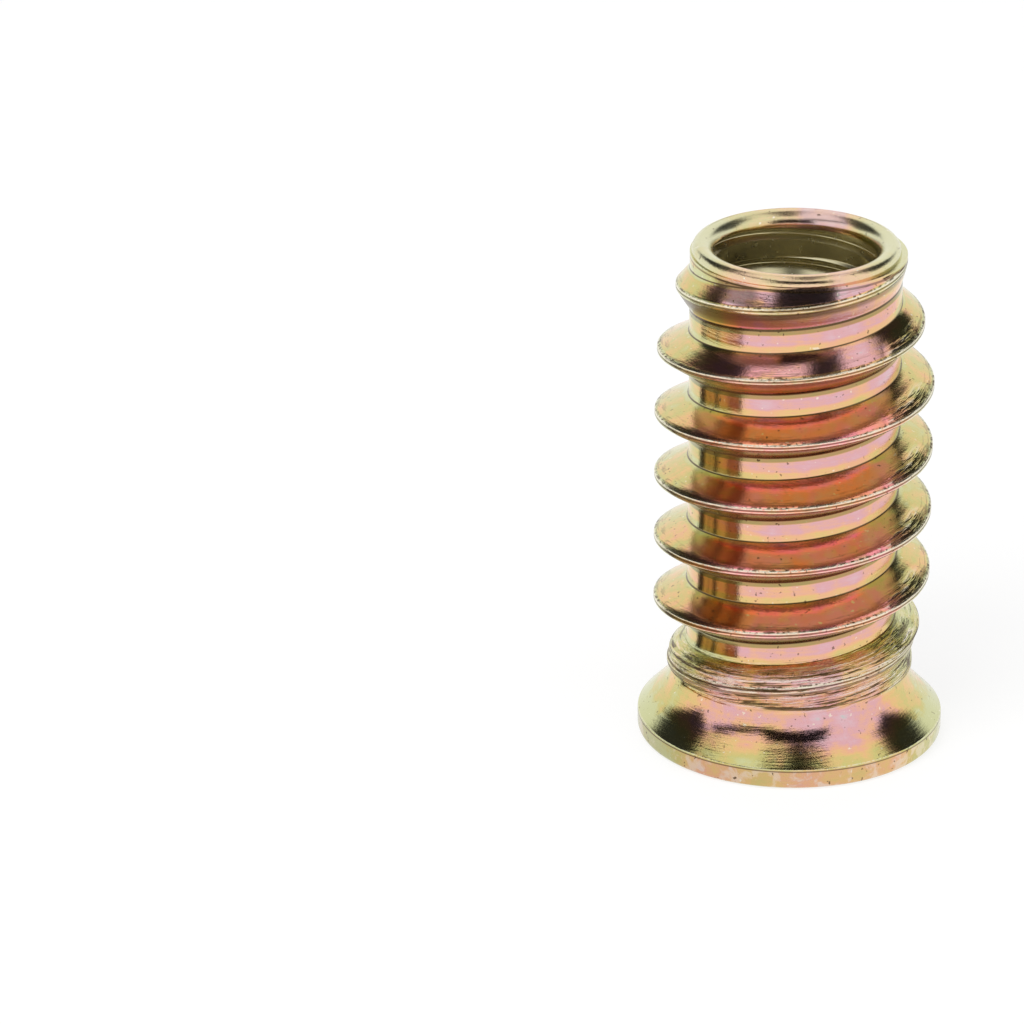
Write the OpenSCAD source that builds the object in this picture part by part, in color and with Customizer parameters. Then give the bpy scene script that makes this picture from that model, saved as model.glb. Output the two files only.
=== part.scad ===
// Flanged threaded insert for wood: a coarse thread outside, a machine thread inside, a key socket in the head.
// The head face lies on Z = 0, the axis is Z and the pilot end points up. Millimetres throughout.
// The inner machine thread is left as its plain minor bore.

/* [Body] */
// Length from the head face to the end of the pilot rim
length = 23.6; // [18:0.1:40]
// Diameter of the plain core between the turns of the wood thread
core_d = 9.5; // [9:0.1:10.3]
// How far the plain rim at the pilot end stands back from the core, at one side
rim_back = 0.05; // [0:0.05:0.3]
// Length of the plain rim at the pilot end
rim_len = 0.8; // [0.6:0.1:2]
// Rounding of the rim's outer lip
rim_round = 0.4; // [0.1:0.05:0.5]

/* [Head] */
// Diameter of the flange
flange_d = 13.9; // [13:0.1:18]
// Height of the flange's upright edge above the head face
flange_edge = 0.95; // [0.6:0.05:2]
// Rounding between the head face and the flange's edge
flange_round = 0.3; // [0.1:0.05:0.5]
// How far the neck between the flange and the wood thread stands out from the core, at one side
neck_out = 0.4; // [0.2:0.05:1]
// Length of the plain neck above its fillet
neck_len = 0.5; // [0.2:0.1:2]
// Radius of the concave fillet from the sloping flange into the neck
neck_fillet = 3.1; // [0.5:0.1:3.5]

/* [Wood thread] */
// Outer diameter of the wood thread
thread_d = 12.7; // [11:0.1:13]
// Distance between turns of the wood thread
thread_pitch = 3; // [2.4:0.1:4]
// Width of the flat crest of the ridge
crest_w = 0.2; // [0.1:0.05:0.8]
// Angle of the ridge's flank that faces the pilot end, from square to the axis
pilot_flank = 26; // [5:1:30]
// Angle of the ridge's flank that faces the head, from square to the axis
head_flank = 30; // [5:1:30]
// Length of the tapered lead at the pilot end
lead_len = 5.5; // [1:0.5:8]
// How far the ridge stands out from the core where the lead ends at the pilot rim
lead_out = 0.05; // [0:0.05:0.6]
// How far the flattened ridge stands out from the core where it runs out at the head
runout_out = 0.9; // [0.4:0.05:1.4]
// How far the ridge's first crest sits below the foot of the neck
thread_under = 1; // [0:0.1:1.5]
// Length of the run-out, from the ridge's first crest to its full diameter
runout_len = 3.7; // [2:0.1:5]
// Distance from the top of the ridge to the end of the rim
thread_top = 0.7; // [0.5:0.1:3]
// Turning of the ridge's start about the axis, from +X towards +Y
thread_start_angle = 119; // [0:1:359]

/* [Machine thread] */
// Minor diameter of the inner machine thread, a coarse inch thread of 5/16 inch with 18 turns to the inch
bore_d = 6.6; // [4:0.1:6.8]

/* [Key socket] */
// Distance across the flats of the hexagonal socket, for a 7 mm key
socket_af = 7.2; // [6.9:0.05:7.4]
// Depth of the socket from the head face
socket_depth = 4.3; // [4:0.1:6]

/* [Pilot mouth] */
// How much wider than the bore its plain mouth at the pilot end is, at one side
mouth_out = 0.35; // [0.1:0.05:0.6]
// Depth of the plain mouth from the end of the rim
mouth_depth = 2.1; // [1:0.1:4]
// Radius of the rounded funnel from the rim's lip into the mouth
mouth_round = 0.6; // [0.2:0.05:0.6]

/* [Hidden] */

core_r = core_d / 2;
rim_r = core_r - rim_back;
neck_r = core_r + neck_out;
flange_r = flange_d / 2;
bore_r = bore_d / 2;
mouth_r = bore_r + mouth_out;

// The two roundings of the rim are limited by its wall, and leave a little of its end flat between them.
rim_wall = rim_r - mouth_r;
lip_round = min(rim_round, rim_wall * 0.4);
funnel_round = min(mouth_round, rim_wall * 0.58);

// The flange slopes at 45 degrees until its fillet turns it upright into the neck.
fillet_z = flange_edge + flange_r - neck_r + neck_fillet * (sqrt(2) - 1);
fillet_r = neck_r + neck_fillet;
slope_in = neck_fillet / sqrt(2);
neck_top = fillet_z + neck_len;

// The ridge is sunk this far into the core, so that the two are one solid.
sink = 0.35;
// Cutters run this far past the faces that they cut.
over = 0.5;
// Facets of the turned surfaces, and steps of the ridge in one turn.
round_fn = 96;
ridge_steps = 36;

thread_base = fillet_z - thread_under;
thread_full = thread_base + runout_len;
ridge_top = length - thread_top;
lead_from = length - lead_len;
ridge_rings = ceil((ridge_top - thread_base) / thread_pitch * ridge_steps);

// A share from 0 to 1 of the way that v has gone from a to b.
function share(v, a, b) = max(0, min(1, (v - a) / (b - a)));

// Radius of the crest at height z: flattened at the head, full in the middle, tapered at the pilot end.
function crest_r(z) =
    let (
        full = thread_d / 2,
        flat = min(core_r + runout_out, full),
        head = flat + (full - flat) * share(z, thread_full - thread_pitch / 3, thread_full),
        lead = full + (core_r + lead_out - full) * share(z, lead_from, length)
    )
    min(head, lead);

// One section of the ridge: radius and height above the crest's centre, from the head side to the pilot side.
function ridge_section(r) =
    let (root = core_r - sink, h = r - root)
    [
        [root, -crest_w / 2 - h * tan(head_flank)],
        [r, -crest_w / 2],
        [r, crest_w / 2],
        [root, crest_w / 2 + h * tan(pilot_flank)]
    ];

// The section at step i of the helix, in space.
function ridge_ring(i) =
    let (
        z = thread_base + (ridge_top - thread_base) * i / ridge_rings,
        a = thread_start_angle + 360 * (z - thread_base) / thread_pitch
    )
    [for (p = ridge_section(crest_r(z))) [p[0] * cos(a), p[0] * sin(a), z + p[1]]];

// The helical ridge of the wood thread, with its root sunk in the core.
module ridge() {
    corners = 4;
    points = [for (i = [0 : ridge_rings]) each ridge_ring(i)];
    last = ridge_rings * corners;
    sides = [
        for (i = [0 : ridge_rings - 1], k = [0 : corners - 1])
        let (a = i * corners + k, b = i * corners + (k + 1) % corners)
        each [[a, b, b + corners], [a, b + corners, a + corners]]
    ];
    start_cap = [for (k = [corners - 1 : -1 : 0]) k];
    end_cap = [for (k = [0 : corners - 1]) last + k];
    polyhedron(points = points, faces = concat(sides, [start_cap], [end_cap]), convexity = 12);
}

// Half section of the turned blank, with sharp lips and no holes.
module blank_section() {
    difference() {
        polygon([
            [0, 0],
            [flange_r, 0],
            [flange_r, flange_edge],
            [fillet_r - slope_in, fillet_z - slope_in],
            [fillet_r - slope_in, fillet_z],
            [neck_r, fillet_z],
            [neck_r, neck_top],
            [core_r, neck_top + neck_r - core_r],
            [core_r, length - rim_len],
            [rim_r, length - rim_len],
            [rim_r, length],
            [0, length]
        ]);
        corner(flange_r - flange_round, flange_round, flange_round, -90);
        corner(rim_r - lip_round, length - lip_round, lip_round, 0);
    }
    fillet();
}

// What a rounding of radius r takes off a square corner: its centre is at x, y and it faces the angle a.
module corner(x, y, r, a) {
    translate([x, y])
    rotate(a)
    difference() {
        square(r + over);
        circle(r = r, $fn = round_fn);
    }
}

// The concave fillet between the sloping flange and the neck.
module fillet() {
    difference() {
        polygon([
            [neck_r - sink, fillet_z - neck_fillet],
            [fillet_r - slope_in, fillet_z - slope_in],
            [neck_r + neck_fillet * (1 - cos(22.5)), fillet_z],
            [neck_r - sink, fillet_z]
        ]);
        translate([fillet_r, fillet_z]) circle(r = neck_fillet, $fn = round_fn);
    }
}

// The turned blank, with no holes and no thread.
module blank() {
    rotate_extrude($fn = round_fn) blank_section();
}

// The through bore at the thread's minor diameter, with its wider mouth and rounded funnel at the pilot end.
module bore() {
    translate([0, 0, -over]) cylinder(r = bore_r, h = length + 2 * over, $fn = round_fn);
    translate([0, 0, length - mouth_depth]) cylinder(r = mouth_r, h = mouth_depth + over, $fn = round_fn);
    translate([0, 0, length - mouth_depth - mouth_out])
    cylinder(r1 = bore_r, r2 = mouth_r, h = mouth_out, $fn = round_fn);
    rotate_extrude($fn = round_fn) translate([mouth_r, length - funnel_round]) funnel_section();
}

// Half section of what the rounded funnel takes off the mouth's edge.
module funnel_section() {
    difference() {
        translate([-over, 0]) square([funnel_round + over, funnel_round + over]);
        translate([funnel_round, 0]) circle(r = funnel_round, $fn = round_fn);
    }
}

// The hexagonal socket for the key, with a flat facing +Y.
module socket() {
    translate([0, 0, -over]) cylinder(r = socket_af / sqrt(3), h = socket_depth + over, $fn = 6);
}

module insert() {
    color([0.86, 0.74, 0.5])
    difference() {
        union() {
            blank();
            ridge();
        }
        bore();
        socket();
    }
}

insert();
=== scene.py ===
"""The looks of a threaded insert for wood: yellow-chromated steel, stood on its flange in a pale studio."""
import logging
import math
from abc import ABC, abstractmethod
from dataclasses import dataclass, field
from enum import Enum
from typing import NamedTuple, Sequence

import bpy
import numpy as np
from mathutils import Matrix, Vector


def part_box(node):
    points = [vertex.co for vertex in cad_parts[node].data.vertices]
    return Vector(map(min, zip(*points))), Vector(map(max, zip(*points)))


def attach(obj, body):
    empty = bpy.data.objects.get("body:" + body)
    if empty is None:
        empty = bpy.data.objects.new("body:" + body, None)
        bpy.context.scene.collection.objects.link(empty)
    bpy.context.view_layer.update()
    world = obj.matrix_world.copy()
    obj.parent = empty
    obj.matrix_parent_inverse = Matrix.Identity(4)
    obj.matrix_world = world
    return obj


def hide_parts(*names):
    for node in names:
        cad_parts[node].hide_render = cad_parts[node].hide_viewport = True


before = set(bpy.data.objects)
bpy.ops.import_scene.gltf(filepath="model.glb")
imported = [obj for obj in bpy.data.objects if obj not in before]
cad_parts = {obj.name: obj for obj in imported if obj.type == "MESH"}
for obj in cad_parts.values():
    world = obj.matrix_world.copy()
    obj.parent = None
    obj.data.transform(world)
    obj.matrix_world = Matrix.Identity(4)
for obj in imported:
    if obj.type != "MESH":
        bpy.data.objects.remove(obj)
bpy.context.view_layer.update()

log = logging.getLogger("insert")

Piece = bpy.types.Object
Outline = Sequence[tuple[float, float]]
Colour = tuple[float, float, float, float]
Stop = tuple[float, tuple[float, float, float]]
Settings = dict[str, object]

MM = 0.001
# How far the flange stays inside the CAD model's box, in mm.
CLEARANCE = 0.005
WHITE: Colour = (1.0, 1.0, 1.0, 1.0)
# Half of an angle past which a corner is as good as straight.
STRAIGHT = math.radians(89.5)


# ---------------- modelling


class Corner(NamedTuple):
    """A corner of a half outline: its radius, its height and how far it is rounded, in mm."""

    r: float
    z: float
    round: float = 0.0


class Cut(Enum):
    """What a boolean does with the tool."""

    JOIN = "UNION"
    REMOVE = "DIFFERENCE"


def rounded(corners: Sequence[Corner], steps: int) -> list[tuple[float, float]]:
    """Turns an open run of corners into points, with an arc at each rounded one.

    Args:
        corners: The corners in order. The first and the last are never rounded.
        steps: The number of chords in each arc.

    Returns:
        The outline's points, as radius and height in mm.
    """
    points = [(corners[0].r, corners[0].z)]
    for before, corner, after in zip(corners, corners[1:], corners[2:]):
        here = Vector((corner.r, corner.z))
        back = (Vector((before.r, before.z)) - here).normalized()
        ahead = (Vector((after.r, after.z)) - here).normalized()
        half = back.angle(ahead) / 2
        if corner.round <= 0 or half > STRAIGHT:
            points.append((corner.r, corner.z))
            continue
        centre = here + (back + ahead).normalized() * (corner.round / math.sin(half))
        start = here + back * (corner.round / math.tan(half)) - centre
        end = here + ahead * (corner.round / math.tan(half)) - centre
        sweep = start.angle_signed(end)
        turn = math.atan2(start.y, start.x)
        for i in range(steps + 1):
            angle = turn - sweep * i / steps
            points.append((
                centre.x + corner.round * math.cos(angle),
                centre.y + corner.round * math.sin(angle),
            ))
    points.append((corners[-1].r, corners[-1].z))
    return points


def denser(outline: Outline, gap: float = 0.3) -> list[tuple[float, float]]:
    """Adds points along the long stretches of an outline.

    Args:
        outline: The points, as radius and height in mm.
        gap: The longest stretch to leave, in mm.

    Returns:
        The denser outline.
    """
    points = [outline[0]]
    for (r0, z0), (r1, z1) in zip(outline, outline[1:]):
        parts = max(1, math.ceil(math.hypot(r1 - r0, z1 - z0) / gap))
        for i in range(1, parts + 1):
            points.append((r0 + (r1 - r0) * i / parts, z0 + (z1 - z0) * i / parts))
    return points


def start_fresh() -> None:
    """Leaves edit mode and deselects every object."""
    if bpy.context.mode != "OBJECT":
        bpy.ops.object.mode_set(mode="OBJECT")
    bpy.ops.object.select_all(action="DESELECT")


def pick(piece: Piece) -> None:
    """Selects one piece alone and makes it the active one.

    Args:
        piece: The object to select.
    """
    start_fresh()
    piece.select_set(True)
    bpy.context.view_layer.objects.active = piece


def edit(piece: Piece) -> None:
    """Opens a piece in edit mode, with all of it selected.

    Args:
        piece: The mesh object to open.
    """
    pick(piece)
    bpy.ops.object.mode_set(mode="EDIT")
    bpy.ops.mesh.select_mode(type="VERT")
    bpy.ops.mesh.select_all(action="SELECT")


def draw_outline(name: str, points: Outline) -> Piece:
    """Draws a half outline in the XZ plane by extruding one vertex.

    Args:
        name: The name of the new object.
        points: Pairs of radius and height in mm.

    Returns:
        The new object, a chain of edges.
    """
    start_fresh()
    r, z = points[0]
    bpy.ops.mesh.primitive_plane_add(size=1.0, location=(0, 0, 0))
    outline = bpy.context.object
    outline.name = name
    edit(outline)
    bpy.ops.mesh.merge(type="CENTER")
    bpy.ops.transform.translate(value=(r, 0, z))
    for (r0, z0), (r1, z1) in zip(points, points[1:]):
        bpy.ops.mesh.extrude_vertices_move(TRANSFORM_OT_translate={"value": (r1 - r0, 0, z1 - z0)})
    bpy.ops.object.mode_set(mode="OBJECT")
    return outline


def turn_on_lathe(name: str, points: Outline, steps: int) -> Piece:
    """Spins a half outline about the axis into a closed solid.

    Args:
        name: The name of the new object.
        points: The outline, which starts and ends on the axis.
        steps: The number of facets round the axis.

    Returns:
        The closed solid.
    """
    solid = draw_outline(name, points)
    edit(solid)
    bpy.ops.mesh.spin(steps=steps, angle=math.tau, center=(0, 0, 0), axis=(0, 0, 1))
    close_up(solid)
    return solid


def close_up(piece: Piece, gap: float = 1e-4) -> None:
    """Merges doubled points and turns every face outwards.

    Args:
        piece: The mesh object to clean.
        gap: How close merged points lie, in the mesh's own units.
    """
    edit(piece)
    bpy.ops.mesh.remove_doubles(threshold=gap)
    bpy.ops.mesh.dissolve_degenerate(threshold=gap / 2)
    bpy.ops.mesh.select_all(action="SELECT")
    bpy.ops.mesh.normals_make_consistent(inside=False)
    bpy.ops.object.mode_set(mode="OBJECT")


def apply(piece: Piece, kind: str, **settings: object) -> None:
    """Adds a modifier to a piece and applies it.

    Args:
        piece: The mesh object.
        kind: The modifier's type.
        **settings: The modifier's own settings.
    """
    pick(piece)
    modifier = piece.modifiers.new(kind.lower(), kind)
    for key, value in settings.items():
        setattr(modifier, key, value)
    bpy.ops.object.modifier_apply(modifier=modifier.name)


def cut(piece: Piece, tool: Piece, way: Cut) -> None:
    """Joins a tool to a piece, or takes it away, and deletes the tool.

    Args:
        piece: The closed solid that stays.
        tool: The closed solid that is used up.
        way: Whether the tool is joined or removed.
    """
    apply(piece, "BOOLEAN", object=tool, operation=way.value, solver="MANIFOLD")
    bpy.data.objects.remove(tool, do_unlink=True)
    log.info("%s after %s: %d faces", piece.name, way.name.lower(), len(piece.data.polygons))


def coords(piece: Piece) -> np.ndarray:
    """Gives a mesh's points as rows of x, y and z."""
    return np.array([point.co for point in piece.data.vertices])


def move_points(piece: Piece, places: np.ndarray) -> None:
    """Puts a mesh's points in new places."""
    piece.data.vertices.foreach_set("co", places.ravel())
    piece.data.update()


def smooth_step(value: np.ndarray, low: float, high: float) -> np.ndarray:
    """Rises smoothly from 0 at low to 1 at high."""
    share = np.clip((value - low) / (high - low), 0, 1)
    return share * share * (3 - 2 * share)


def soft_min(a: np.ndarray, b: np.ndarray, blend: float) -> np.ndarray:
    """Takes the lesser of two values, with the crease between them rounded over blend."""
    share = np.clip(0.5 + 0.5 * (b - a) / blend, 0, 1)
    return b + (a - b) * share - blend * share * (1 - share)


# ---------------- the insert


@dataclass
class Helix:
    """A right-hand helical band: one turn's outline, wound about the axis.

    Sizes are in mm. crest_z is the crest's height at +X, and other crests lie whole pitches from it.
    """

    pitch: float
    crest_z: float
    low: float
    high: float
    steps: int
    # Points closer than this are one point.
    weld: float = 1e-3

    def crest_at(self, angle: np.ndarray, near: np.ndarray) -> np.ndarray:
        """Finds the height of the crest nearest to a height, at an angle from +X in radians."""
        base = self.crest_z + self.pitch * angle / math.tau
        return base + self.pitch * np.round((near - base) / self.pitch)

    def wind(self, name: str, turn: Outline) -> Piece:
        """Winds one turn's outline into a solid between the low and the high plane.

        Args:
            name: The name of the new object.
            turn: The outline of one pitch, as radius and height from the crest.

        Returns:
            The closed solid, flat at both ends.
        """
        below = math.ceil((self.crest_z - self.low) / self.pitch) + 1
        first = self.crest_z - below * self.pitch
        turns = math.ceil((self.high - first) / self.pitch) + 1
        band = draw_outline(name, [(r, z + first) for r, z in turn])
        apply(
            band, "SCREW", angle=math.tau, screw_offset=self.pitch, iterations=turns, steps=self.steps,
            render_steps=self.steps, axis="Z", use_merge_vertices=True, merge_threshold=1e-5,
        )
        close_up(band, gap=self.weld)
        self.cap(band, self.low, top=False)
        self.cap(band, self.high, top=True)
        close_up(band)
        return band

    def cap(self, band: Piece, height: float, top: bool) -> None:
        """Cuts the band off at a height and fills the cut with one flat face.

        Args:
            band: The wound band.
            height: The height of the cut, in mm.
            top: Whether what goes is above the cut, and not below it.
        """
        edit(band)
        bpy.ops.mesh.bisect(
            plane_co=(0, 0, height), plane_no=(0, 0, 1), clear_inner=not top, clear_outer=top)
        bpy.ops.mesh.select_all(action="DESELECT")
        bpy.ops.mesh.select_mode(type="EDGE")
        bpy.ops.mesh.select_non_manifold(
            use_wire=False, use_boundary=True, use_multi_face=False, use_non_contiguous=False,
            use_verts=False,
        )
        bpy.ops.object.mode_set(mode="OBJECT")
        points = band.data.vertices
        for line in band.data.edges:
            flat = all(abs(points[v].co.z - height) < self.weld for v in line.vertices)
            line.select = line.select and flat
        bpy.ops.object.mode_set(mode="EDIT")
        bpy.ops.mesh.edge_face_add()
        bpy.ops.object.mode_set(mode="OBJECT")


@dataclass
class Insert:
    """The insert, in mm, with its head face on Z = 0 and its pilot end up."""

    length: float
    flange_r: float
    core_r: float = 4.73
    flange_edge: float = 0.95
    flange_round: float = 0.28
    edge_round: float = 0.14
    neck_r: float = 5.15
    neck_len: float = 1.4
    neck_taper: float = 0.4
    neck_fillet: float = 3.1
    # The rim leans out above its foot, past a groove.
    rim_r: float = 4.64
    rim_len: float = 0.8
    rim_lean: float = 0.3
    rim_swell: float = 0.02
    rim_round: float = 0.4
    rim_groove: float = 0.15
    # How deep the turned core is hidden in the ridge's, and how far most corners are rounded.
    inset: float = 0.12
    bend: float = 0.05

    # The wood thread.
    ridge_r: float = 6.33
    ridge_pitch: float = 3.0
    ridge_phase: float = 17.04
    ridge_end: float = 0.45
    ridge_round: float = 0.08
    crest_w: float = 0.2
    pilot_flank: float = 26.0
    head_flank: float = 30.0
    head_root_round: float = 0.22
    # Its lead: the crest's radius at lead_end below the top, and how it grows and fades.
    lead_r: float = 4.82
    lead_slope: float = 0.276
    lead_end: float = 0.16
    lead_blend: float = 0.15
    fade_below: float = 0.7
    fade_past: float = 0.1
    # Its run-out, where the crest is flattened to runout_r.
    shoulder_z: float = 3.35
    shoulder_r: float = 5.55
    runout_r: float = 5.62
    runout_from: float = 4.4
    runout_to: float = 6.6
    runout_blend: float = 0.3
    # The first turn bulges above its crest, and the groove above it is filled up to a waist.
    bulge: float = 0.88
    bulge_len: float = 0.85
    bulge_from: float = 4.2
    bulge_to: float = 5.0
    filled_from: float = 3.5
    filled_to: float = 4.9
    waist_z: float = 4.25
    waist_len: float = 0.3
    waist_in: float = 0.16

    # The machine thread.
    minor_r: float = 3.3
    major_r: float = 3.97
    machine_pitch: float = 25.4 / 18
    machine_phase: float = 22.25
    machine_flank: float = 30.0

    # The key socket, and the pilot mouth with its lip.
    socket_flat: float = 3.6
    socket_corner: float = 4.24
    socket_depth: float = 4.3
    mouth_r: float = 3.64
    mouth_depth: float = 2.1
    lip_r: float = 4.27

    # How far a tool reaches past what it cuts, and the facets round the axis.
    over: float = 0.5
    facets: int = 144
    tap_facets: int = 96
    punch_facets: int = 72
    # Faces that meet at less than this many degrees are shaded as one.
    smooth_below: float = 32.0
    piece: Piece = field(init=False)

    def build(self) -> Piece:
        """Models the insert as one closed mesh.

        Returns:
            The finished piece, in metres.
        """
        self.piece = self.wood_thread()
        cut(self.piece, self.blank(), Cut.JOIN)
        cut(self.piece, self.machine_thread(), Cut.REMOVE)
        cut(self.piece, self.mouth(), Cut.REMOVE)
        cut(self.piece, self.socket(), Cut.REMOVE)
        self.piece.name = "threaded_insert"
        self.finish()
        return self.piece

    def roots(self) -> tuple[float, float]:
        """Works out where the ridge's flanks meet the core.

        Returns:
            The heights of the lower and the upper root from the crest, in mm.
        """
        rise = self.ridge_r - self.core_r
        lower = -self.crest_w / 2 - rise * math.tan(math.radians(self.head_flank))
        upper = self.crest_w / 2 + rise * math.tan(math.radians(self.pilot_flank))
        return lower, upper

    def blank(self) -> Piece:
        """Turns the head, the neck, the core and the rim.

        Returns:
            The closed solid.
        """
        hidden = self.core_r - self.inset
        swollen = self.rim_r + self.rim_swell
        slope_top = self.flange_edge + self.flange_r - self.neck_r
        neck_top = slope_top + self.neck_len
        rim_foot = self.length - self.rim_len
        outline = rounded([
            Corner(0, 0),
            Corner(self.flange_r, 0, self.flange_round),
            Corner(self.flange_r, self.flange_edge, self.edge_round),
            Corner(self.neck_r, slope_top, self.neck_fillet),
            Corner(self.neck_r, neck_top),
            Corner(hidden, neck_top + self.neck_taper, 2 * self.bend),
            Corner(hidden, rim_foot - self.rim_groove, self.bend),
            Corner(self.rim_r - self.bend, rim_foot, self.bend),
            Corner(swollen, rim_foot + self.rim_lean, self.bend),
            Corner(swollen, self.length, self.rim_round),
            Corner(0, self.length),
        ], steps=8)
        return turn_on_lathe("blank", outline, self.facets)

    def wood_thread(self) -> Piece:
        """Winds the outer ridge, and gives it its lead and its run-out.

        Returns:
            The closed solid of the core and the ridge.
        """
        helix = Helix(
            self.ridge_pitch, self.ridge_phase, self.shoulder_z, self.length - self.ridge_end, self.facets)
        lower, upper = self.roots()
        half = self.ridge_pitch / 2
        turn = rounded([
            Corner(self.core_r, -half),
            Corner(self.core_r, lower, self.head_root_round),
            Corner(self.ridge_r, -self.crest_w / 2, self.ridge_round),
            Corner(self.ridge_r, self.crest_w / 2, self.ridge_round),
            Corner(self.core_r, upper, self.ridge_round),
            Corner(self.core_r, half),
        ], steps=4)
        band = helix.wind("ridge", denser(turn))
        x, y, z = coords(band).T
        radius = np.hypot(x, y)
        crest = helix.crest_at(np.arctan2(y, x), z)
        # What lies well inside the core is an end's flat face, and stays.
        on_side = radius > self.core_r - 0.3
        scale = np.where(on_side, self.worked(radius, z, crest) / np.maximum(radius, 1e-9), 1)
        move_points(band, np.column_stack((x * scale, y * scale, z)))
        return band

    def worked(self, radius: np.ndarray, z: np.ndarray, crest: np.ndarray) -> np.ndarray:
        """Tapers the even ridge at the pilot end, and flattens and fills it at the head.

        Args:
            radius: The radius of each point on the even ridge, in mm.
            z: The height of each point, in mm.
            crest: The height of the crest nearest to each point, in mm.

        Returns:
            The new radius of each point, in mm.
        """
        raised = radius > self.core_r
        upper = z > crest
        lead = self.lead_r + self.lead_slope * (self.length - self.lead_end - crest)
        top = soft_min(lead, np.full_like(lead, self.ridge_r), self.lead_blend)
        share = np.clip((top - self.core_r) / (self.ridge_r - self.core_r), 0, 1)
        ridge = self.core_r + (radius - self.core_r) * share

        fall = np.clip((z - crest - self.crest_w / 2) / self.bulge_len, 0, 1) ** 3
        bulge = self.core_r + self.bulge * (1 - fall)
        first = 1 - smooth_step(crest, self.bulge_from, self.bulge_to)
        ridge = np.where(upper & raised, ridge + (bulge - ridge) * first, ridge)

        grown = smooth_step(z, self.runout_from, self.runout_to)
        runout = self.runout_r + (self.ridge_r - self.runout_r) * grown
        ridge = np.where(raised, soft_min(ridge, runout, self.runout_blend), radius)

        groove = crest + np.where(upper, 0.5, -0.5) * self.ridge_pitch
        waist = self.shoulder_r - self.waist_in * np.exp(-(((z - self.waist_z) / self.waist_len) ** 2))
        filling = 1 - smooth_step(groove, self.filled_from, self.filled_to)
        ridge = np.maximum(ridge, self.core_r + (waist - self.core_r) * filling)

        fade = 1 - smooth_step(crest, self.length - self.fade_below, self.length + self.fade_past)
        return self.core_r + (ridge - self.core_r) * np.where(ridge > self.core_r, fade, 1)

    def machine_thread(self) -> Piece:
        """Winds the tool that cuts the inner thread.

        Returns:
            The closed solid of the tool.
        """
        past = 2 * self.over
        helix = Helix(
            self.machine_pitch, self.machine_phase, -past, self.length + past, self.tap_facets)
        flank = (self.major_r - self.minor_r) * math.tan(math.radians(self.machine_flank))
        root = self.machine_pitch / 16
        turn = rounded([
            Corner(self.minor_r, -self.machine_pitch / 2),
            Corner(self.minor_r, -root - flank, self.bend),
            Corner(self.major_r, -root, self.bend),
            Corner(self.major_r, root, self.bend),
            Corner(self.minor_r, root + flank, self.bend),
            Corner(self.minor_r, self.machine_pitch / 2),
        ], steps=2)
        return helix.wind("tap", turn)

    def mouth(self) -> Piece:
        """Turns the tool that opens the pilot end: a funnel, a plain mouth and a small step.

        Returns:
            The closed solid of the tool.
        """
        # The rounding ends just below the top, so that the lip has an edge.
        top = self.length - 0.01
        foot = self.length - self.mouth_depth
        step = foot - (self.mouth_r - self.minor_r)
        inside = self.minor_r - self.bend
        outline = rounded([
            Corner(0, step - self.over),
            Corner(inside, step - self.over),
            Corner(inside, step),
            Corner(self.mouth_r, foot, 2 * self.bend),
            Corner(self.mouth_r, top, self.lip_r - self.mouth_r),
            Corner(self.lip_r + 0.02, top),
            Corner(self.lip_r + 0.4, self.length + self.over),
            Corner(0, self.length + self.over),
        ], steps=6)
        return turn_on_lathe("mouth", outline, self.facets)

    def socket(self) -> Piece:
        """Models the punch of the key socket, with its flats bowed in between sharp corners.

        Returns:
            The closed solid of the punch.
        """
        start_fresh()
        depth = self.socket_depth + self.over
        middle = (0, 0, self.socket_depth - depth / 2)
        bpy.ops.mesh.primitive_cylinder_add(
            vertices=self.punch_facets, radius=self.socket_corner, depth=depth, location=middle)
        punch = bpy.context.object
        edit(punch)
        bpy.ops.transform.translate(value=middle)
        bpy.ops.object.mode_set(mode="OBJECT")
        punch.location = (0, 0, 0)
        x, y, z = coords(punch).T
        angle = np.arctan2(y, x)
        half_side = math.tau / 12
        from_corner = np.abs((angle + half_side) % (2 * half_side) - half_side)
        from_middle = half_side - from_corner
        flat = self.socket_corner * math.cos(half_side)
        bow = (flat - self.socket_flat) * (1 - (from_middle / half_side) ** 2)
        reach = flat / np.cos(from_middle) - bow
        move_points(punch, np.column_stack((reach * np.cos(angle), reach * np.sin(angle), z)))
        return punch

    def finish(self) -> None:
        """Cleans the mesh, brings it to metres and shades it smooth up to its sharp edges."""
        close_up(self.piece, gap=2e-4)
        edit(self.piece)
        bpy.ops.transform.resize(value=(MM, MM, MM), center_override=(0, 0, 0))
        pick(self.piece)
        bpy.ops.object.shade_smooth_by_angle(angle=math.radians(self.smooth_below))


# ---------------- shader maths


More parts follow.
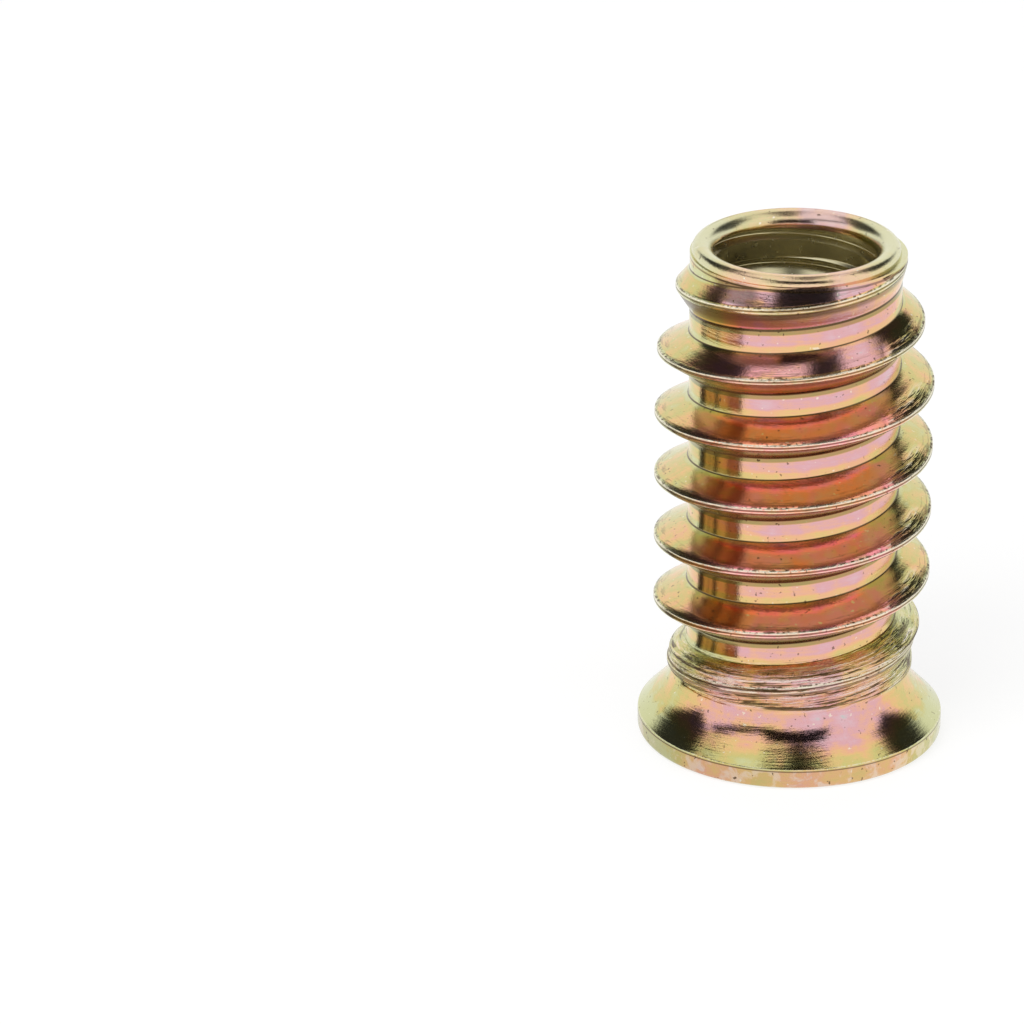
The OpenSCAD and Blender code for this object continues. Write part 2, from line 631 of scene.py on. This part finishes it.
class Graph:
    """A material's or a world's node tree, emptied and ready to be wired."""

    def __init__(self, tree: bpy.types.NodeTree) -> None:
        """Empties the tree."""
        self.tree = tree
        tree.nodes.clear()

    def node(self, kind: str, settings: Settings | None = None, **sockets: object) -> bpy.types.Node:
        """Adds a node, with its settings first and then its sockets.

        Args:
            kind: The node's type, without its ShaderNode.
            settings: The node's own settings. A ramp's stops go under "stops".
            **sockets: Values or signals by name, with _ for a space, or by place as in0 and on.

        Returns:
            The new node.
        """
        made = self.tree.nodes.new("ShaderNode" + kind)
        for key, value in (settings or {}).items():
            if key == "stops":
                self.set_stops(made.color_ramp, value)
            else:
                setattr(made, key, value)
        for key, value in sockets.items():
            by_place = key.startswith("in") and key[2:].isdigit()
            socket = made.inputs[int(key[2:])] if by_place else made.inputs[key.replace("_", " ")]
            if isinstance(value, Signal):
                self.tree.links.new(value.socket, socket)
            else:
                socket.default_value = value
        return made

    @staticmethod
    def set_stops(ramp: bpy.types.ColorRamp, stops: Sequence[Stop]) -> None:
        """Gives a ramp its stops.

        Args:
            ramp: The ramp of a new node.
            stops: The stops in order, each a place from 0 to 1 and a colour.
        """
        while len(ramp.elements) < len(stops):
            ramp.elements.new(0.5)
        for element, (place, colour) in zip(ramp.elements, stops):
            element.position = place
            element.color = (*colour, 1.0)

    def signal(
        self, kind: str, settings: Settings | None = None, out: int | str = 0, **sockets: object,
    ) -> "Signal":
        """Adds a node and gives one of its outputs as a signal."""
        return Signal(self, self.node(kind, settings, **sockets).outputs[out])


@dataclass(frozen=True)
class Signal:
    """A socket's number or vector, on which plain arithmetic adds Math nodes."""

    graph: Graph
    socket: bpy.types.NodeSocket

    def math(self, operation: str, *others: object) -> "Signal":
        """Adds a Math node with this signal first."""
        sockets = {f"in{i}": value for i, value in enumerate((self, *others))}
        return self.graph.signal("Math", {"operation": operation}, **sockets)

    def math_after(self, operation: str, first: float) -> "Signal":
        """Adds a Math node with a number first and this signal second."""
        return self.graph.signal("Math", {"operation": operation}, in0=first, in1=self)

    def __add__(self, other: object) -> "Signal":
        """self + other"""
        return self.math("ADD", other)

    def __radd__(self, other: float) -> "Signal":
        """other + self"""
        return self.math_after("ADD", other)

    def __sub__(self, other: object) -> "Signal":
        """self - other"""
        return self.math("SUBTRACT", other)

    def __rsub__(self, other: float) -> "Signal":
        """other - self"""
        return self.math_after("SUBTRACT", other)

    def __mul__(self, other: object) -> "Signal":
        """self * other"""
        return self.math("MULTIPLY", other)

    def __rmul__(self, other: float) -> "Signal":
        """other * self"""
        return self.math_after("MULTIPLY", other)

    def __truediv__(self, other: object) -> "Signal":
        """self / other"""
        return self.math("DIVIDE", other)

    def at_least(self, other: object) -> "Signal":
        """Takes the greater of this and another."""
        return self.math("MAXIMUM", other)

    def at_most(self, other: object) -> "Signal":
        """Takes the lesser of this and another."""
        return self.math("MINIMUM", other)

    def rise(self, low: float, high: float) -> "Signal":
        """Rises smoothly from 0 at low to 1 at high."""
        smooth = {"interpolation_type": "SMOOTHSTEP"}
        return self.graph.signal("MapRange", smooth, Value=self, in1=low, in2=high)

    def band(self, low: float, high: float, soft: float) -> "Signal":
        """Is 1 between low and high and fades to 0 over soft outside them."""
        return self.rise(low - soft, low) * (1.0 - self.rise(high, high + soft))

    def blend(self, first: object, second: object) -> "Signal":
        """Mixes two colours, with the first where this is 0 and the second where it is 1."""
        colour = {"data_type": "RGBA"}
        return self.graph.signal("Mix", colour, out=2, in0=self, in6=first, in7=second)


# ---------------- finishes


class Spot:
    """What a finish knows of a point on the insert: its place in mm, its zones and noises.

    A zone is a mask, 1 inside and 0 outside, that follows the insert's own sizes.
    """

    def __init__(self, graph: Graph, part: Insert, skew: float) -> None:
        """Works out the place, the zones and the noises.

        Args:
            graph: The material's graph.
            part: The insert's sizes.
            skew: How far the core's look is turned about the axis, in degrees.
        """
        self.graph = graph
        self.part = part
        metres = graph.signal("TexCoord", out="Object")
        self.place = graph.signal("VectorMath", {"operation": "SCALE"}, in0=metres, Scale=1 / MM)
        axes = graph.node("SeparateXYZ", None, Vector=self.place)
        self.x, self.y, self.z = (Signal(graph, socket) for socket in axes.outputs)
        self.across = self.x * math.cos(math.radians(skew)) + self.y * math.sin(math.radians(skew))
        self.radius = (self.x * self.x + self.y * self.y).math("SQRT")
        self.follow_helix()
        self.mark_middle()
        self.mark_ends()
        self.add_noises()

    def follow_helix(self) -> None:
        """Finds the height above the nearest crest, and the share of the way from the core out to it."""
        part = self.part
        turn = self.x.math("ARCTAN2", self.y * -1.0) / math.tau
        # At +X, where the crest is at its phase, turn is a quarter, and steps is then a half.
        steps = (self.z - part.ridge_phase) / part.ridge_pitch - turn + 0.75
        self.above = steps.math("FRACT") * part.ridge_pitch - part.ridge_pitch / 2
        lead = (part.length - part.lead_end - self.z + self.above) * part.lead_slope + part.lead_r
        grown = self.z.rise(part.runout_from, part.runout_to)
        runout = grown * (part.ridge_r - part.runout_r) + part.runout_r
        self.share = (self.radius - part.core_r) / (lead.at_most(runout) - part.core_r).at_least(0.1)

    def sideways(self, along: Signal) -> Signal:
        """Gives the square of how far aside the point is, as a share of its radius squared."""
        return along * along / (self.radius * self.radius).at_least(0.01)

    def mark_middle(self) -> None:
        """Marks the core's lands, the sides, the ridge, the torn band, the scratches with painted glints and
        two darker patches.
        """
        part = self.part
        lower, upper = part.roots()
        self.outside = self.radius.rise(part.minor_r + 1.0, part.minor_r + 1.1)
        self.front = (1.0 - self.y.rise(-2.0, -1.0)) * self.outside
        self.threaded = self.z.band(part.shoulder_z, part.length - 0.6, 0.1)
        bare = 1.0 - self.radius.rise(part.core_r + 0.03, part.core_r + 0.3)
        self.land = self.threaded * bare * self.outside
        # The strips along the foot and the top of each land.
        self.low_land = self.land * self.above.band(upper, upper + 0.22, 0.2)
        self.high_land = self.land * self.above.band(lower - 0.22, lower, 0.08)
        self.side = self.sideways(self.x).rise(0.3, 0.85)
        # The sides as seen from the front, where the film is made thinner as a painted sheen.
        self.side_sheen = self.side + (self.sideways(self.across).rise(0.4, 1.0) - self.side) * self.land
        self.flank = self.share.rise(0.1, 0.2) * self.threaded
        self.tip = self.share.rise(0.84, 0.92) * self.threaded
        self.torn = self.z.band(part.shoulder_z - 0.1, part.runout_from + 1.2, 0.3) * self.radius.band(
            part.core_r + 0.09, part.shoulder_r + 0.35, 0.08)
        self.under = (1.0 - self.above.rise(-0.2, -0.12)) * self.flank * (1.0 - self.torn)
        upside = (self.flank - self.under).at_least(0.0) * self.share.rise(0.35, 0.7)
        # Painted glints on scratches across the upper flanks, at the right in front.
        self.scratch_glints = upside * self.across.band(3.0, 5.0, 0.5) * self.front
        # The last turn is darker at the left, in a patch with painted glints, and darker in the middle, in
        # front.
        self.last_turn = self.z.rise(part.length - 3.1, part.length - 2.1)
        speckled_patch = self.z.band(part.length - 1.3, part.length - 0.6, 0.1)
        self.dark_patch_with_glints = speckled_patch * self.x.band(-3.4, -2.2, 0.5) * self.front
        middle_height = self.z.band(part.length - 1.3, part.length - 0.5, 0.1)
        self.darker_middle = middle_height * self.x.band(-1.0, 1.2, 0.5) * self.front

    def mark_ends(self) -> None:
        """Marks the flange and its upright edge, the rim inside and out, and the bore."""
        part = self.part
        self.cone = 1.0 - self.z.rise(part.shoulder_z - 0.5, part.shoulder_z)
        low = 1.0 - self.z.rise(part.flange_edge - 0.10, part.flange_edge)
        self.edge = low * self.radius.rise(part.flange_r - 0.245, part.flange_r - 0.095)
        self.lip = self.z.rise(part.length - 0.7, part.length - 0.3)
        self.rim = self.lip * self.outside
        wide = self.radius.rise(part.minor_r + 0.28, part.minor_r + 0.4)
        self.funnel = self.lip * (1.0 - self.outside) * wide
        narrow = 1.0 - self.radius.rise(part.lip_r + 0.02, part.lip_r + 0.12)
        self.within = narrow * self.z.band(0.12, part.length - 0.8, 0.1)

    def add_noises(self) -> None:
        """Adds the noises, from slow drift to fine grain, and two drawn out into streaks."""
        self.drift = self.noise(self.place, 0.33, 2.0, 0.5, 0.6)
        self.mottle = self.noise(self.place, 1.3, 3.0, 0.6, 0.3)
        self.speck = self.noise(self.place, 4.2, 2.0, 0.5, 0.0)
        self.grain = self.noise(self.place, 9.0, 4.0, 0.65, 0.0)
        # Streaks run along the ridge, and the marks of turning run level.
        self.streak = self.noise(self.drawn_out(0.45, self.above * 9.0), 1.0, 3.0, 0.65, 0.2)
        self.lathe = self.noise(self.drawn_out(0.3, self.z * 7.0), 1.0, 2.0, 0.6, 0.0)

    def noise(self, place: Signal, scale: float, detail: float, rough: float, swirl: float) -> Signal:
        """Adds a noise that is the same for the same place."""
        sockets = {"Scale": scale, "Detail": detail, "Roughness": rough, "Distortion": swirl}
        return self.graph.signal("TexNoise", None, Vector=place, **sockets)

    def drawn_out(self, level: float, upright: Signal) -> Signal:
        """Gives a place with its level axes scaled and its own upright one."""
        x, y = self.x * level, self.y * level
        return self.graph.signal("CombineXYZ", None, X=x, Y=y, Z=upright)


class Finish(ABC):
    """A surface that pieces are dressed with."""

    name: str

    def material(self) -> bpy.types.Material:
        """Makes the material.

        Returns:
            The material, wired.
        """
        made = bpy.data.materials.new(self.name)
        made.use_nodes = True
        graph = Graph(made.node_tree)
        graph.node("OutputMaterial", None, Surface=self.shader(graph))
        return made

    @abstractmethod
    def shader(self, graph: Graph) -> Signal:
        """Wires the shader and gives its output."""


@dataclass(frozen=True)
class Chromate(Finish):
    """Yellow chromate over zinc on steel: a glossy metal whose film colour drifts, with painted shade,
    painted highlights and a painted sheen in that colour.
    """

    part: Insert
    name: str = "plated_steel"
    roughness: float = 0.11
    skew: float = 14.0

    # The film's colours, in the order that its thickness brings them.
    colours: tuple[Stop, ...] = (
        (0.00, (0.62, 0.63, 0.33)),
        (0.20, (0.63, 0.56, 0.21)),
        (0.40, (0.80, 0.53, 0.23)),
        (0.56, (0.84, 0.46, 0.28)),
        (0.74, (0.74, 0.41, 0.43)),
        (0.90, (0.73, 0.48, 0.52)),
        (1.00, (0.55, 0.58, 0.55)),
    )
    red: Colour = (1.0, 0.36, 0.20, 1.0)
    rose: Colour = (1.0, 0.33, 0.38, 1.0)
    # The pale colour of worn metal, which also paints highlights and glints.
    worn_and_highlight: Colour = (0.90, 0.83, 0.66, 1.0)
    # The dark colour of grime, which also paints shade.
    grime_and_shade: Colour = (0.13, 0.08, 0.04, 1.0)
    olive: Colour = (0.72, 0.66, 0.42, 1.0)

    # How thick the film is, from 0 to 1 through its colours, and what each zone adds to that.
    film_base: float = 0.58
    # At the sides the film is thinner, a painted sheen of the colour shift seen at grazing views.
    film_side_sheen: float = -0.44
    film_land: float = 0.14
    film_low_land: float = -0.26
    film_high_land: float = -0.34
    film_flank: float = 0.12
    film_tip: float = -0.36
    film_under: float = -0.56
    film_under_last: float = 0.38
    film_cone: float = 0.13
    film_cone_foot: float = -0.48
    # The same painted sheen on the flange's cone.
    film_cone_side_sheen: float = -0.06
    film_edge: float = 0.28

    # How dark a zone is, where 1 is the colour of grime and painted shade.
    crease: float = 0.6
    pit: float = 0.7
    slit: float = 0.9

    # How bare a zone is, and how bright its painted highlight, where 1 is the worn metal's own colour.
    bare_crest_highlight: float = 0.9
    bare_corner_glint: float = 0.8
    bare_edge: float = 0.5
    bare_lip: float = 0.34

    # The relief's full range in mm, and how much of it shows.
    relief_height: float = 0.03
    relief_strength: float = 0.6

    def shader(self, graph: Graph) -> Signal:
        """Wires the finish.

        Args:
            graph: The material's graph.

        Returns:
            The shader's output.
        """
        at = Spot(graph, self.part, self.skew)
        # Grime and painted shade darken the film; worn metal and painted highlights lighten it.
        dirt_and_shade = self.dirt_and_shade(at)
        plated = self.wear_and_highlights(at).blend(self.film(at), self.worn_and_highlight)
        worked = at.tip * 0.08 + at.torn * 0.06 + at.rim * 0.09 + at.funnel * 0.13 + at.within * 0.14
        grain = at.grain * (at.rim * 0.3 + 0.2) * (1.0 - at.within)
        drawn = at.tip * 0.5 + at.torn * 6.0 + at.scratch_glints * 3.0 + at.share.rise(0.5, 0.9) * 0.3
        relief = graph.signal(
            "Bump", None, out="Normal", Strength=self.relief_strength,
            Distance=self.relief_height * MM, Height=grain + at.lathe * 0.2 + at.streak * drawn * at.outside,
        )
        return graph.signal(
            "BsdfPrincipled", None, out="BSDF", Metallic=1.0, Normal=relief,
            Base_Color=at.within.blend(dirt_and_shade.blend(plated, self.grime_and_shade), self.olive),
            Roughness=(at.grain - 0.5) * 0.10 + self.roughness + worked + dirt_and_shade * 0.15,
        )

    def thickness(self, at: Spot) -> Signal:
        """Works out how thick the film is: banded on the core, and thin at the sides as a painted sheen.

        Args:
            at: The point.

        Returns:
            The thickness, from 0 to 1.
        """
        drifting = (at.drift - 0.5) * (0.9 - at.flank * 0.2) + (at.mottle - 0.5) * (0.7 - at.land * 0.3)
        strips = at.low_land * self.film_low_land + at.high_land * self.film_high_land
        ridge = (
            at.flank * self.film_flank
            + at.torn * (at.streak - 0.62) * 1.1
            + at.tip * (1.0 - at.torn) * self.film_tip
            + at.under * (at.last_turn * self.film_under_last + self.film_under)
        )
        foot = at.radius.rise(self.part.flange_r - 1.045, self.part.flange_r - 0.195)
        # The cone's film, with the painted sheen at its sides.
        cone = at.cone * (self.film_cone + foot * self.film_cone_foot + at.side_sheen * self.film_cone_side_sheen)
        # The funnel's far side is pink right of its middle and yellower at the left.
        far = at.lip * (1.0 - at.outside) * at.y.rise(0.5, 1.5)
        patches = far * (at.x.band(0.6, 2.2, 0.5) * 0.34 - at.x.band(-3.6, -0.8, 0.6) * 0.14)
        rim = patches - at.lip * (at.mottle * 0.28 + 0.02)
        # The painted sheen thins the film at the sides.
        even = at.side_sheen * self.film_side_sheen + self.film_base + (at.lathe - 0.5) * 0.25
        core = at.land * self.film_land + strips
        return even + drifting + core + ridge + cone + at.edge * self.film_edge + rim

    def film(self, at: Spot) -> Signal:
        """Colours the film, with deep reds on the ridge's upper side in front.

        Args:
            at: The point.

        Returns:
            The colour.
        """
        plain = at.graph.signal("ValToRGB", {"stops": self.colours}, Fac=self.thickness(at))
        upper = (at.flank - at.under - at.torn).at_least(0.0) * (1.0 - at.side)
        lower_turns = 1.0 - at.z.rise(self.part.length - 5.6, self.part.length - 3.1)
        deep = upper * lower_turns * (at.mottle.rise(0.35, 0.55) * 0.45 + 0.48)
        return deep.blend(plain, at.drift.rise(0.42, 0.56).blend(self.rose, self.red))

    def wear_and_highlights(self, at: Spot) -> Signal:
        """Works out where the film is worn off and where pale highlights are painted: on crests and corners,
        on scratches, in a dark patch and in specks.

        Args:
            at: The point.

        Returns:
            The bareness with its painted highlights, from 0 to 1.
        """
        part = self.part
        # Two pale lines along each crest: worn metal, and painted highlights of its rounding.
        lines = at.above.band(0.06, 0.13, 0.02).at_least(at.above.band(-0.11, -0.07, 0.02) * 0.6)
        crest = lines * at.tip * (at.grain.rise(0.36, 0.52) * 0.7 + 0.3)
        # Bare metal in the torn band and on scratches, with painted glints.
        torn_and_scratch_glints = (at.torn * 0.5 + at.scratch_glints * 0.6) * at.streak.rise(0.52, 0.60)
        # Painted glints in the dark patch of the last turn.
        speckled_patch = at.dark_patch_with_glints * at.grain.rise(0.53, 0.66) * 0.45
        edge = at.edge * at.mottle.rise(0.48, 0.6)
        # Painted glints along the flange's upper corner.
        height = at.z.band(part.flange_edge - 0.06, part.flange_edge + 0.03, 0.02)
        corner = height * at.radius.band(part.flange_r - 0.245, part.flange_r - 0.045, 0.05)
        specks = (1.0 - at.speck.rise(0.27, 0.30)) * 0.6
        return (
            crest * self.bare_crest_highlight + torn_and_scratch_glints + edge * self.bare_edge + at.lip * self.bare_lip + speckled_patch
            + specks + corner * at.grain.rise(0.44, 0.54) * self.bare_corner_glint
        )

    def dirt_and_shade(self, at: Spot) -> Signal:
        """Works out where grime, painted shade and painted dark reflections lie: along the ridge, in pits
        and under it.

        Args:
            at: The point.

        Returns:
            The darkness, from 0 to 1.
        """
        part = self.part
        # Painted shade under the ridge, deeper towards its crest, and on the last turn darker towards the
        # left.
        under = at.last_turn * (0.24 - at.x * 0.12) + at.share.rise(0.5, 0.75) * 0.50 + 0.26
        shoulder = at.z.band(part.shoulder_z - 0.06, part.shoulder_z + 0.02, 0.03) * at.outside
        # Painted shade in a slit at the neck, used in front only.
        middle = at.z.band(part.shoulder_z - 0.20, part.shoulder_z + 0.02, 0.05) * at.x.band(-1.2, 1.5, 0.5)
        # Painted shade in the groove at the rim's foot.
        rim_foot = at.z.band(part.length - 0.64, part.length - 0.58, 0.03) * at.outside
        # A painted dark reflection line under the flange's upper corner.
        brim = at.z.band(part.flange_edge - 0.10, part.flange_edge - 0.05, 0.02)
        brim = brim * at.radius.rise(part.flange_r - 0.145, part.flange_r - 0.045)
        tears = at.torn * (1.0 - at.streak.rise(0.36, 0.49))
        shade_and_grime = (
            # Painted shade at the top of each land, under the ridge above it.
            self.lines(at) + at.high_land * 0.5
            + (tears + shoulder + at.speck.rise(0.68, 0.72)) * self.pit
            + (at.dark_patch_with_glints + rim_foot + brim) * self.crease + at.darker_middle * 0.4
            # Painted shade on the flange's upright edge, for the insert's shadow that it mirrors, a little
            # lighter towards the right.
            + middle * at.front * self.slit + at.edge * (0.20 - at.x * 0.02)
        )
        return shade_and_grime.at_least(at.under * under.at_most(0.9))

    def lines(self, at: Spot) -> Signal:
        """Draws the dark lines along the ridge: painted shade at its roots and under its crest, painted dark
        reflections along its crest, and streaks.

        Args:
            at: The point.

        Returns:
            The darkness, from 0 to 1.
        """
        lower, upper = self.part.roots()
        foot = at.radius.band(self.part.core_r - 0.2, self.part.core_r + 0.06, 0.03) * at.threaded
        # Painted shade in the creases at the ridge's roots.
        upper_root_shade = at.above.band(upper - 0.01, upper + 0.02, 0.03) * (at.streak * 0.6 + self.crease)
        lower_root_shade = at.above.band(lower - 0.05, lower + 0.02, 0.05) * self.crease
        # Painted dark reflections along the middle of the crest and just above it.
        crest = at.above.band(-0.02, 0.02, 0.03) * at.tip * (at.streak * 0.7 + 0.4)
        over = at.above.band(0.13, 0.19, 0.03) * at.tip * (1.0 - at.speck.rise(0.42, 0.5)) * 0.8
        # Painted shade just under the crest.
        under_crest_shade = at.above.band(-0.24, -0.15, 0.03) * at.share.rise(0.7, 0.8) * at.threaded * self.crease
        streaks = at.streak.band(0.36, 0.42, 0.03) * at.share.rise(0.5, 0.8) * at.threaded * 0.4
        return (upper_root_shade + lower_root_shade) * foot + crest + over + under_crest_shade + streaks


@dataclass(frozen=True)
class PaleSweep(Finish):
    """The floor's paint, white to the camera, which still holds the insert's shadow."""

    name: str = "pale_floor"
    paint: Colour = (0.92, 0.92, 0.92, 1.0)
    whiteness: float = 1.1
    lift: float = 0.7

    def shader(self, graph: Graph) -> Signal:
        """Wires matt paint, with light of its own for the rays that show the floor.

        Args:
            graph: The material's graph.

        Returns:
            The shader's output.
        """
        path = graph.node("LightPath", None)
        camera, glossy, through = (
            Signal(graph, path.outputs[f"Is {ray} Ray"]) for ray in ("Camera", "Glossy", "Transmission")
        )
        seen = camera.at_least(glossy).at_least(through)
        matt = graph.signal("BsdfDiffuse", None, Color=self.paint)
        white = graph.signal("Emission", None, Color=WHITE, Strength=self.whiteness)
        return graph.signal("MixShader", None, in0=seen * self.lift, in1=matt, in2=white)


class Tone(Enum):
    """The colours of the cards."""

    BLACK = (0.01, 0.01, 0.01)
    DARK = (0.05, 0.04, 0.03)
    BROWN = (0.30, 0.15, 0.07)
    GOLD = (0.50, 0.33, 0.14)


@dataclass(frozen=True)
class Card(Finish):
    """An evenly lit card for shiny metal to mirror."""

    name: str
    tone: Tone

    def shader(self, graph: Graph) -> Signal:
        """Wires the card's even colour."""
        return graph.signal("Emission", None, Color=(*self.tone.value, 1.0), Strength=1.0)


# ---------------- the studio


@dataclass
class Studio:
    """A pale floor, a white world, cards to mirror, a soft lamp and the camera, in mm."""

    # The camera, with its place along its own axes.
    lens: float = 193.359375
    sensor: float = 36.0
    look_down: float = math.radians(23.1)
    roll: float = math.radians(-0.3)
    left: float = 12.66
    up: float = 9.785
    back: float = 252.6

    floor_side: float = 1600.0
    floor_gap: float = 0.02

    # The fan of cards that the core mirrors as bands, in degrees from straight left to the front.
    fan_middle: tuple[float, float, float] = (-1.7, -3.2, 0.05)
    fan_near: float = 12.0
    fan_far: float = 56.0
    fan_start: float = -36.7
    fan: tuple[tuple[float, Tone], ...] = (
        (11.7, Tone.DARK), (7.3, Tone.GOLD), (1.7, Tone.DARK), (6.3, Tone.GOLD), (6.1, Tone.DARK),
        (14.3, Tone.GOLD), (1.9, Tone.DARK), (12.4, Tone.BROWN), (3.3, Tone.DARK),
    )

    # The card in front, which the flange mirrors as an arc.
    front_place: tuple[float, float, float] = (3.0, -35.0, 42.5)
    front_size: tuple[float, float] = (43.0, 27.0)

    key_place: tuple[float, float, float] = (-120.0, -160.0, 260.0)
    key_size: float = 160.0
    key_power: float = 0.35

    def build(self) -> None:
        """Sets up the camera, the floor, the cards, the world and the lamp."""
        self.camera()
        self.floor()
        self.spread_fan()
        self.stand(Card("front", Tone.BLACK), self.front_place, self.front_size)
        self.world()
        self.lamp()

    def camera(self) -> None:
        """Places the camera, which looks down from the front."""
        sine, cosine = math.sin(self.look_down), math.cos(self.look_down)
        data = bpy.data.cameras.new("camera")
        data.sensor_width = self.sensor
        data.lens = self.lens
        data.clip_start = 0.005
        data.clip_end = 10
        camera = bpy.data.objects.new("camera", data)
        bpy.context.scene.collection.objects.link(camera)
        camera.location = Vector((
            -self.left,
            self.up * sine - self.back * cosine,
            self.up * cosine + self.back * sine,
        )) * MM
        camera.rotation_mode = "XYZ"
        camera.rotation_euler = (math.pi / 2 - self.look_down, 0, 0)
        camera.rotation_euler.rotate_axis("Z", self.roll)
        bpy.context.scene.camera = camera

    def floor(self) -> None:
        """Lays the floor under the head face."""
        start_fresh()
        bpy.ops.mesh.primitive_plane_add(size=self.floor_side * MM, location=(0, 0, -self.floor_gap * MM))
        floor = bpy.context.object
        floor.name = "floor"
        floor.data.materials.append(PaleSweep().material())

    def spread_fan(self) -> None:
        """Lays the cards of the fan side by side."""
        bearing = self.fan_start
        for number, (spread, tone) in enumerate(self.fan):
            self.lay(Card(f"left_{number}", tone), bearing, bearing + spread)
            bearing += spread

    def lay(self, card: Card, start: float, stop: float) -> None:
        """Lays one card of the fan on the floor.

        Args:
            card: The card.
            start: The bearing of its back edge, in degrees.
            stop: The bearing of its front edge.
        """
        corners = []
        for reach in (self.fan_near, self.fan_far):
            for bearing in (start, stop):
                turn = math.radians(bearing)
                spoke = Vector((-math.cos(turn), -math.sin(turn), 0))
                corners.append((Vector(self.fan_middle) + spoke * reach) * MM)
        move_points(self.sheet(card), np.array(corners))

    def stand(self, card: Card, place: tuple[float, float, float], size: tuple[float, float]) -> None:
        """Stands one card upright, square to the front.

        Args:
            card: The card.
            place: Its middle, in mm.
            size: Its width and height, in mm.
        """
        sheet = self.sheet(card)
        edit(sheet)
        bpy.ops.transform.resize(value=(size[0] * MM, size[1] * MM, 1), center_override=(0, 0, 0))
        bpy.ops.object.mode_set(mode="OBJECT")
        sheet.rotation_euler = (math.pi / 2, 0, 0)
        sheet.location = Vector(place) * MM

    @staticmethod
    def sheet(card: Card) -> Piece:
        """Adds a square sheet, 1 m a side, as a card that shows in mirror images alone.

        Args:
            card: The card.

        Returns:
            The sheet, at the origin.
        """
        start_fresh()
        bpy.ops.mesh.primitive_plane_add(size=1.0, location=(0, 0, 0))
        sheet = bpy.context.object
        sheet.name = card.name
        sheet.data.materials.append(card.material())
        sheet.visible_camera = False
        sheet.visible_shadow = False
        sheet.visible_diffuse = False
        return sheet

    @staticmethod
    def world() -> None:
        """Makes a white world with a studio's dark things in it, for the metal to mirror."""
        world = bpy.data.worlds.new("studio")
        bpy.context.scene.world = world
        world.use_nodes = True
        graph = Graph(world.node_tree)
        towards = graph.signal("TexCoord", out="Generated")
        parts = graph.node("SeparateXYZ", None, Vector=towards)
        x, y, z = (Signal(graph, socket) for socket in parts.outputs)
        # The wall is a belt of dark room behind.
        wall = z.rise(0.29, 0.40) * (1.0 - z.rise(0.76, 0.88)) * y.rise(-0.04, 0.04)
        wall = wall * (x.math("ABSOLUTE") * 1.58 - x * 0.12 - y).rise(-0.05, 0.06)
        # The lamp's head hangs overhead, with a boom behind at the left and an arm in front.
        head = x.band(0.00, 0.23, 0.03) * z.rise(0.87, 0.895)
        boom = x.band(-0.52, -0.30, 0.04) * z.band(0.72, 0.88, 0.03) * y.rise(0.15, 0.20)
        arm = x.band(-0.84, -0.25, 0.05) * z.band(0.62, 0.72, 0.03) * (1.0 - y.rise(-0.12, -0.04))
        dark = wall.at_least(head.at_least(arm).at_least(boom)) * 0.97
        path = graph.node("LightPath", None)
        seen = Signal(graph, path.outputs["Is Camera Ray"])
        strength = (1.0 - dark).at_least(seen)
        light = graph.signal("Background", None, Color=WHITE, Strength=strength)
        graph.node("OutputWorld", None, Surface=light)

    def lamp(self) -> None:
        """Hangs the soft lamp, which the metal doesn't mirror."""
        data = bpy.data.lights.new("key", "AREA")
        data.size = self.key_size * MM
        data.energy = self.key_power
        lamp = bpy.data.objects.new("key", data)
        bpy.context.scene.collection.objects.link(lamp)
        lamp.location = Vector(self.key_place) * MM
        lamp.rotation_euler = (-lamp.location).to_track_quat("-Z", "Y").to_euler()
        lamp.visible_glossy = False


def main() -> None:
    """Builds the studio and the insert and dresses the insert."""
    logging.basicConfig(level=logging.INFO, format="%(name)s: %(message)s")
    bpy.context.scene.view_settings.view_transform = "Standard"
    Studio().build()
    log.info("studio ready")
    reach, _, height = (round(side / MM, 3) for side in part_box("insert")[1])
    sizes = Insert(length=height, flange_r=reach - CLEARANCE)
    insert = sizes.build()
    insert.data.materials.clear()
    insert.data.materials.append(Chromate(sizes).material())
    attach(insert, "root")
    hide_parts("insert")
    log.info("%s: %d points, %d faces", insert.name, len(insert.data.vertices), len(insert.data.polygons))


if __name__ == "__main__":
    main()
